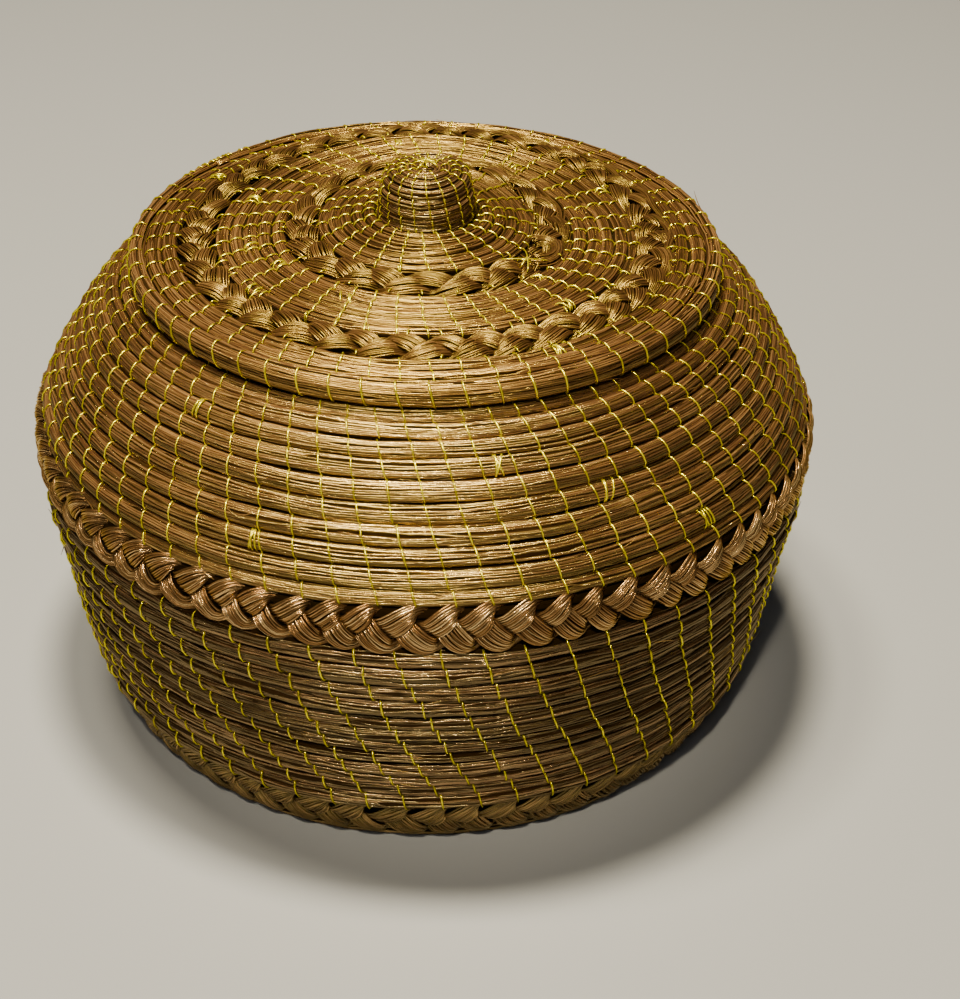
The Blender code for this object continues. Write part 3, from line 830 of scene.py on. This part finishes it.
LID_PLAIT = needle_material(
    "lid_plait_needles", (0.009, 0.003, 0.0015), (0.062, 0.027, 0.01), (0.24, 0.132, 0.042),
    rough=0.31, crease_shade_width=0.9, gloss=0.45, tint=(1, 0.74, 0.1))
FOOT = needle_material(
    "foot_needles", (0.008, 0.0028, 0.0016), (0.09, 0.039, 0.017), (0.6, 0.37, 0.16),
    rough=0.22, crease_shade_width=0.85, gloss=1.0, tint=(1, 0.77, 0.26))
# The filling's dark colours are painted shade of the needles deep inside a coil
FILLING = needle_material(
    "hidden_needles", (0.008, 0.0025, 0.001), (0.04, 0.015, 0.004), (0.1, 0.045, 0.01),
    rough=0.8, crease_shade_width=0.4, gloss=0.1, tint=(1, 0.7, 0.2), metal=0)
THREAD = thread_material()

# Body
lower_line = Line(between(FOOT_HIGH, SHOULDER_LOW, LOWER_WALL_SHARES))
upper_line = Line(between(SHOULDER_HIGH, MOUTH, UPPER_WALL_SHARES))
lower_coil = Coil(lower_line, LOWER_COURSES, seam=0.2, stitches=63, seed=11, shift=0.195)
upper_coil = Coil(upper_line, UPPER_COURSES, seam=0.3, stitches=72, seed=21, shift=0.17)
body_hidden, lid_hidden = MeshParts(), MeshParts()
parts = MeshParts()
add_strands(parts, lower_coil, 9, (-80, 80), every=1, seed=3, rows=9, uneven=0.55)
parts.make("lower_wall_needles", LOWER, "basket", "lower_wall_needles", ["lower_wall_coil"])
parts = MeshParts()
add_strands(parts, lower_coil, 6, (90, 270), every=2, seed=4, rows=6)
body_hidden.band = (0.0, 0.3)
add_filling(body_hidden, lower_coil)
parts.make("lower_wall_inside", LOWER, "basket", "lower_wall_needles")
parts = MeshParts()
add_strands(parts, upper_coil, 11, (-77, 77), every=1, seed=5, rows=11, uneven=0.14, fat=0.57, drifting=0.14)
parts.make("upper_wall_needles", WALL, "basket", "upper_wall_needles", ["upper_wall_coil"])
parts = MeshParts()
add_strands(parts, upper_coil, 6, (90, 270), every=2, seed=6, rows=6)
body_hidden.band = (0.3, 0.3)
add_filling(body_hidden, upper_coil)
parts.make("upper_wall_inside", WALL, "basket", "upper_wall_needles")

# The shoulder's lobes start where the photograph shows them between the upper wall's stitches
SHOULDER_PHASE = TURN * (0.3 + 0.5 / 72) + 0.75 / 104 - TURN / 96
shoulder = Braid(SHOULDER_LOW, (SHOULDER_HIGH[0], SHOULDER_HIGH[1] + 0.9), 0.8, 24, 1, SHOULDER_PHASE)
parts = MeshParts()
body_hidden.band = (0.6, 0.03)
add_braid(parts, body_hidden, shoulder, radius=0.31, strand=6.6, tip=0.62, rise=1.7, seed=41)
parts.make("shoulder_plait", PLAIT, "basket", "braid_needles", ["shoulder_braid"])
foot = Braid(FOOT_LOW, FOOT_HIGH, 0.0, 20, 1)
parts = MeshParts()
body_hidden.band = (0.63, 0.03)
add_braid(parts, body_hidden, foot, radius=0.35, strand=8.0, tip=0.6, rise=1.4, seed=43)
parts.make("foot_plait", FOOT, "basket", "foot_needles", ["foot_braid"])

bottom_line = Line([(radius, BOTTOM_HEIGHT) for radius in BOTTOM_RADII])
bottom_coil = Coil(bottom_line, (1,) * 20, seam=0.1, stitches=24, seed=31, slack=0.1, steps=60)
parts = MeshParts()
body_hidden.band = (0.66, 0.24)
add_bundle(parts, body_hidden, bottom_coil, outer=5, inner=5, seed=7)
parts.make("bottom_needles", FOOT, "basket", "bottom_needles", ["bottom_coil"])
foot_line = Line([FOOT_LOW, FOOT_HIGH])
for k, (line, distance, low, high) in enumerate((
        (foot_line, 3.2, -1.7, -0.2), (foot_line, foot_line.length, -1.7, -0.3),
        (lower_line, lower_line.length, -1.9, -0.6), (upper_line, 0, -1.9, -0.5))):
    body_hidden.band = (0.9 + 0.02 * k, 0.02)
    add_closing(body_hidden, line, distance, 3.0, low, high)
body_hidden.make("body_hidden_needles", FILLING, "basket", "upper_wall_needles")

# Lid
lid_line = Line(between(LID_EDGE, LID_MIDDLE, LID_SHARES))
ends = [lid_line.length * sum(LID_RING_SHARES[:i]) for i in range(6)]
outer_coil = Coil(lid_line, (1, 1), seam=0.05, stitches=60, seed=51, shift=0.08, end=ends[1])
middle_coil = Coil(lid_line, (1,) * 5, seam=0.7, stitches=43, seed=53, shift=0.08, start=ends[2], end=ends[3])
centre_coil = Coil(lid_line, (1,) * 5, seam=0.7, stitches=25, seed=55, shift=0.08, start=ends[4])
for k, (name, coil, node) in enumerate((
        ("lid_outer_needles", outer_coil, "lid_outer_coil"),
        ("lid_middle_needles", middle_coil, "lid_middle_coil"),
        ("lid_centre_needles", centre_coil, "lid_centre_coil"))):
    parts = MeshParts()
    lid_hidden.band = (0.13 * k, 0.13)
    add_bundle(parts, lid_hidden, coil, outer=9, inner=4, seed=61 + 2 * k)
    parts.make(name, LID, "lid", "lid_needles", [node], True)

for name, start, end, periods, node, seed, hollow in (
        ("lid_outer_plait", ends[1], ends[2], 12, "lid_outer_braid", 71, NO_HOLLOW),
        ("lid_inner_plait", ends[3], ends[4], 6, "lid_inner_braid", 73, (BRAID_END, 0.17, 3.2))):
    edges, _, _ = lid_line.at(np.array([start, end]))
    parts = MeshParts()
    lid_hidden.band = (0.39 + 0.02 * (seed - 71), 0.04)
    add_braid(parts, lid_hidden, Braid(*edges, 0.5, periods, -1), radius=0.3, strand=6.6, tip=0.62, rise=1.3,
              seed=seed, droop=0.4, hollow=hollow)
    parts.make(name, LID_PLAIT, "lid", "braid_needles", [node], True)

# Loose bundles beside the lid's plaits: distance on the line, first and last angle, needles and seed
parts = MeshParts()
for distance, first, last, needles, seed in (
        (ends[1] + 1.2, 88, 52, 8, 1), (ends[1] + 1.4, 60, 28, 9, 2), (ends[1] + 1.0, 33, 8, 9, 3),
        (ends[1] + 1.3, 14, -6, 7, 4), (ends[3] + 1.3, 84, 40, 8, 5), (ends[3] + 1.0, 46, 4, 9, 6),
        (ends[1] + 1.2, 172, 150, 5, 7)):
    add_loose_bundle(parts, lid_line, distance, first, last, needles, seed)
end_place, end_way, end_out = lid_line.at(np.array([(ends[3] + ends[4]) / 2]))
inward = end_way[0] / np.linalg.norm(end_way[0])


def near_end(round_mm, in_mm, up_mm):
    """Points near the inner braid's end: mm along the ring, towards the middle and off the lid."""
    place = end_place[0] + np.multiply.outer(in_mm, inward) + np.multiply.outer(up_mm, end_out[0])
    return turned(place, BRAID_END + np.asarray(round_mm) / end_place[0, 0])


def straight_near_end(parts, start, end, height, radius, tone, *finish):
    """A straight needle or thread near the inner braid's end, from start to end, each along and in."""
    share = np.linspace(0, 1, len(height))
    path = near_end(start[0] + (end - start)[0] * share, start[1] + (end - start)[1] * share, height)
    thin_tube(parts, path, radius, tone, *finish)


# The small knot of needles in which the inner braid ends
draw = np.random.default_rng(29)
share = np.linspace(0, 1, 16)
for j in range(19):
    curl = math.radians(draw.uniform(-75, -45)) + share * math.radians(draw.uniform(220, 300))
    size = 2.0 + 0.25 * j + 0.7 * share
    height = 2.5 + 0.8 * np.sin(math.pi * share) - 0.02 * (j - 9) ** 2 - 2.2 * share**3
    path = near_end(4.2 + size * np.cos(curl), 0.6 - 0.85 * size * np.sin(curl), height)
    thin_tube(parts, path, 0.24, draw.uniform(0.1, 1.1), 0.5, 0.2)
for _ in range(16):
    start = np.array([draw.uniform(-7, -3), draw.uniform(-3.2, 3.2)])
    end = np.array([draw.uniform(-2.5, 1.5), draw.uniform(-2.6, 2.6)])
    height = 0.2 + draw.uniform(0.8, 2.4) * np.linspace(0, 1, 6)
    straight_near_end(parts, start, end, height, 0.2, draw.uniform(0, 1.1), 0.5, 0.2)
parts.make("lid_loose_needles", LID_PLAIT, "lid", "braid_needles", (), True)

rim_half = RIM_TALL / 2
rim_line = Line([(RIM_RADIUS, LID_HEIGHT - rim_half - RIM_ROOM),
                 (RIM_RADIUS, LID_HEIGHT + rim_half + RIM_ROOM)])
rim_coil = Rim(rim_line, RIM_RADIUS, RIM_WIDTH, RIM_TALL, seam=0.4, stitches=60)
parts = MeshParts()
# The rim's needles are made lighter: partly their own tone, partly painted light on its outward face
add_strands(parts, rim_coil, 26, (-135, 135), every=1, seed=67, rows=31, tone_and_light_shift=0.2, uneven=0.2, fat=0.54)
add_strands(parts, rim_coil, 4, (143, 217), every=2, seed=68, rows=31, row=26, tone_and_light_shift=0.05)
lid_hidden.band = (0.47, 0.04)
add_filling(lid_hidden, rim_coil)
parts.make("lid_rim_needles", LID, "lid", "lid_needles", ["lid_rim_coil"])

seat_line = Line([(SEAT_RADIUS, corner.z / MM) for corner in SEAT_BOX])
seat_coil = Coil(seat_line, (1, 1), seam=0.4, stitches=30, seed=59)
seat_coil.deep = np.full(len(seat_coil.turns), SEAT_DEEP)
parts = MeshParts()
lid_hidden.band = (0.51, 0.09)
add_bundle(parts, lid_hidden, seat_coil, outer=5, inner=5, seed=69)
parts.make("lid_seat_needles", LID, "lid", "lid_needles", ["lid_seat_coil"])

knob_points = []
for x, y in KNOB_SHARES:
    radius = KNOB_EYE_RADIUS + (KNOB_RADIUS - KNOB_TAPER * y - KNOB_EYE_RADIUS) * x
    knob_points.append((radius, KNOB_FOOT + KNOB_HEIGHT * y))
knob_line = Line(knob_points)
knob_coil = Coil(knob_line, (1,) * 9, seam=0.7, stitches=18, seed=81)
parts = MeshParts()
lid_hidden.band = (0.6, 0.2)
add_bundle(parts, lid_hidden, knob_coil, outer=8, inner=4, seed=75)
parts.make("knob_needles", KNOB, "lid", "knob_needles", ["knob_coil"])
for k, distance in enumerate(ends):
    lid_hidden.band = (0.8 + 0.02 * k, 0.02)
    add_closing(lid_hidden, lid_line, distance, 2.1, -1.9, -0.5)
lid_hidden.make("lid_hidden_needles", FILLING, "lid", "lid_needles", (), True)

# Needles that have come loose
parts = MeshParts()
add_strays(parts, upper_coil, 90, 201)
add_strays(parts, lower_coil, 70, 203)
parts.make("body_stray_needles", WALL, "basket", "upper_wall_needles")
parts = MeshParts()
for coil, count, seed in (
        (outer_coil, 10, 205), (middle_coil, 16, 207), (centre_coil, 7, 209), (rim_coil, 8, 211)):
    add_strays(parts, coil, count, seed, longest=10.0, rise=1.4)
parts.make("lid_stray_needles", LID, "lid", "lid_needles", (), True)

# Sewing thread
WALL_SEWING = ((lower_coil, 101, 0.27, 1.3), (upper_coil, 103, 0.27, 1.4))
parts = MeshParts()
for coil, seed, radius, slant in WALL_SEWING:
    add_stitches(parts, coil, seed, radius, slant, -100, 100, 7)
for angle, radius, seed in (
        (-77, 88, 1), (-112, 99, 2), (-60, 94, 3), (-128, 84, 4), (-45, 101, 5), (20, 92, 6), (95, 88, 7)):
    add_knot(parts, upper_coil, angle, radius, seed)
parts.make("body_thread", THREAD, "basket", "upper_wall_needles")
parts = MeshParts()
for coil, seed, radius, slant in WALL_SEWING:
    add_stitches(parts, coil, seed, radius, slant, 110, 250, 5)
parts.make("body_thread_inside", THREAD, "basket", "upper_wall_needles")
parts = MeshParts()
for coil, seed in ((outer_coil, 105), (middle_coil, 107), (centre_coil, 109)):
    add_stitches(parts, coil, seed, 0.28, 0.7, -100, 100, 7)
add_stitches(parts, knob_coil, 111, 0.22, 0.3, -100, 100, 7, spacing=3.2)
add_stitches(parts, rim_coil, 113, 0.29, 1.9, -130, 120, 9)
for angle, radius, seed in (
        (-142, 56, 11), (-151, 42, 12), (-116, 44, 13), (159, 51, 14), (-42, 40, 15), (-47, 54, 16),
        (30, 54, 17), (56, 42, 18), (-166, 47, 19), (102, 52, 20)):
    add_knot(parts, middle_coil, angle, radius, seed)
for angle, radius, seed in ((150, 68, 21), (-60, 66, 22), (102, 68, 23)):
    add_knot(parts, outer_coil, angle, radius, seed, count=4)
for k in range(9):
    add_knot(parts, rim_coil, 137 + 1.6 * k, 76, 30 + k, count=1, room=0.4)
for start, end, count, seed in (
        (ends[1] - 1.0, ends[1] + 2.4, 44, 51), (ends[2] + 1.5, ends[2] - 2.2, 40, 52),
        (ends[3] - 1.2, ends[3] + 2.2, 26, 53), (ends[4] + 1.2, ends[4] - 2.0, 20, 54)):
    add_cross_stitches(parts, lid_line, start, end, count, seed)

# Threads over the inner braid's end, and a star of threads on the knob
draw = np.random.default_rng(37)
for k in range(4):
    start = np.array([draw.uniform(-10, -6), -3 + 2.4 * k])
    end = np.array([draw.uniform(-4, 2), 4 - 2.6 * k])
    height = 1.9 + 0.8 * np.sin(math.pi * np.linspace(0, 1, 8))
    straight_near_end(parts, start, end, height, 0.22, draw.uniform(0.3, 1))
star_height = np.full(5, KNOB_FOOT + KNOB_HEIGHT + 2.1) + 0.25 * np.array([-2.4, 0, 0.6, 1, 1])
for k in range(9):
    angle = k * TURN / 9 + draw.uniform(-0.2, 0.2)
    radii = np.linspace(draw.uniform(2.4, 4.2), 0.2, 5)
    path = np.stack([radii * np.cos(angle), radii * np.sin(angle), star_height], -1)
    thin_tube(parts, path, 0.24, draw.uniform(0.4, 1))
parts.make("lid_thread", THREAD, "lid", "lid_needles", (), True)

# Floor and world
bpy.ops.mesh.primitive_plane_add(size=8, location=(0, 0, 0))
floor = bpy.context.object
floor.name = "floor"
floor_material, _, _, floor_shader = new_material("floor")
set_inputs(floor_shader, Base_Color=(0.265, 0.275, 0.295, 1), Roughness=0.7)
floor.data.materials.append(floor_material)

world = bpy.data.worlds.new("studio")
world.use_nodes = True
set_inputs(world.node_tree.nodes["Background"], Color=(0.93, 0.96, 1, 1), Strength=0.045)
bpy.context.scene.world = world


def add_lamp(data, energy, colour, place, target):
    """Puts a light at a place and turns it to its target."""
    data.energy = energy
    data.color = colour
    lamp = bpy.data.objects.new(data.name, data)
    lamp.location = place
    lamp.rotation_mode = "QUATERNION"
    lamp.rotation_quaternion = (Vector(target) - Vector(place)).to_track_quat("-Z", "Y")
    bpy.context.scene.collection.objects.link(lamp)


# Light: each round lamp's name, place, size, power and colour, and one spot on the wall's front
WARM = (1, 0.87, 0.62)
for name, place, size, energy, colour in (
        ("left_lamp", (-0.3, -0.02, 1.3), 0.22, 16, WARM),
        ("middle_lamp", (-0.05, -0.02, 1.3), 0.22, 41, WARM),
        ("front_fill", (-0.12, -1.0, 1.0), 0.4, 2.0, (1, 0.95, 0.86)),
        ("left_fill", (-1.2, -0.6, 0.4), 0.3, 1.0, (1, 0.92, 0.8))):
    disk = bpy.data.lights.new(name, "AREA")
    disk.shape = "DISK"
    disk.size = size
    add_lamp(disk, energy, colour, place, (0, 0, 0.08))
spot = bpy.data.lights.new("front_spot", "SPOT")
spot.spot_size = math.radians(8.6)
spot.spot_blend = 1.0
spot.shadow_soft_size = 0.06
add_lamp(spot, 155, WARM, (-0.08, -0.8, 1.15), (0.0, -0.084, 0.12))

# Camera
forward = Vector((0, math.cos(CAMERA_DOWN), -math.sin(CAMERA_DOWN)))
right = Vector((1, 0, 0))
up = right.cross(forward)
cos_roll, sin_roll = math.cos(CAMERA_ROLL), math.sin(CAMERA_ROLL)
right, up = right * cos_roll + up * sin_roll, up * cos_roll - right * sin_roll
camera_data = bpy.data.cameras.new("camera")
camera_data.sensor_width = SENSOR_WIDTH
camera_data.lens = SENSOR_WIDTH * CAMERA_FOCUS / PHOTO_LONG_SIDE
camera_data.clip_start = 0.01
camera = bpy.data.objects.new("camera", camera_data)
camera.matrix_world = Matrix.Translation(CAMERA_PLACE) @ Matrix((right, up, -forward)).transposed().to_4x4()
bpy.context.scene.collection.objects.link(camera)
bpy.context.scene.camera = camera
